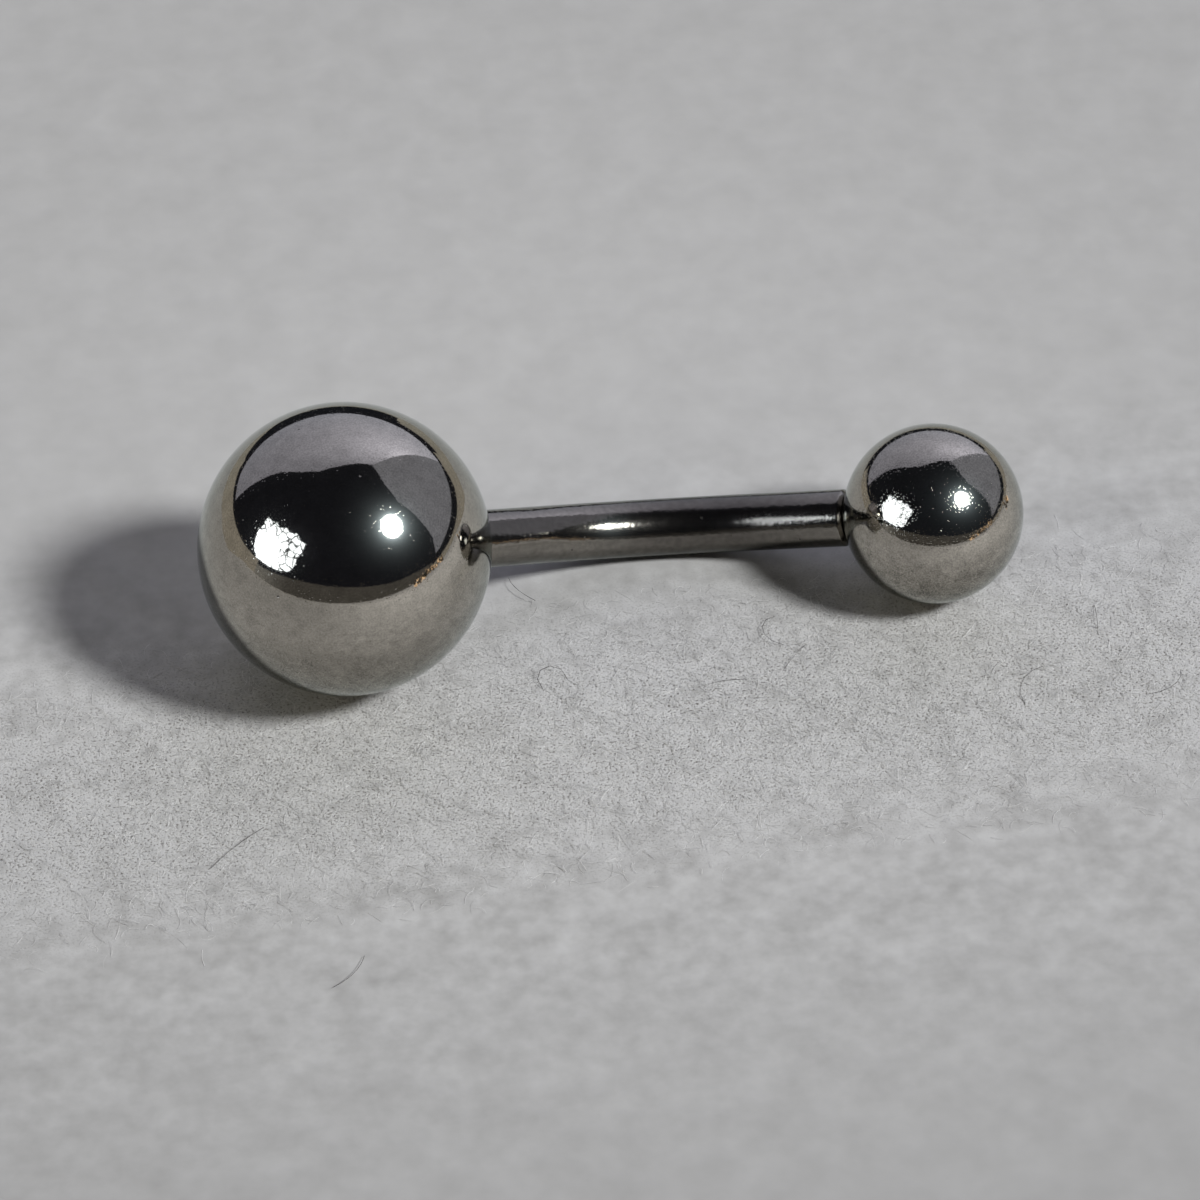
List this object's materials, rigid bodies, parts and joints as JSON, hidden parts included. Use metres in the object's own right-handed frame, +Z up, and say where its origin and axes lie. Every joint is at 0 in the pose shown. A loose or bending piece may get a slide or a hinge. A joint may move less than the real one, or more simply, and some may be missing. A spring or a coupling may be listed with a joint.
{
  "type": "curved barbell navel ring",
  "caption": "Curved barbell navel ring in polished steel: a bent round bar with a large ball screwed on one end and a small ball on the other.",
  "frame": {"origin": "middle of the object's box, on the surface it lies on", "axes": "+X from the large ball to the small ball, +Z up, +Y towards the outside of the bend"},
  "size_m": [0.023, 0.008, 0.008],
  "materials": {
    "polished_steel": "mirror polished surgical steel with fine wear"
  },
  "bodies": {
    "bar": {"curved_bar": "polished_steel"},
    "large_ball": {"large_ball": "polished_steel"},
    "small_ball": {"small_ball": "polished_steel"}
  },
  "joints": [
    {"name": "large_ball_off", "type": "slide", "parent": "bar", "child": "large_ball", "axis": [-0.8577, -0.3494, 0.3772], "range_m": [0, 0.003]},
    {"name": "small_ball_off", "type": "slide", "parent": "bar", "child": "small_ball", "axis": [0.8701, -0.4109, 0.2722], "range_m": [0, 0.003]}
  ]
}
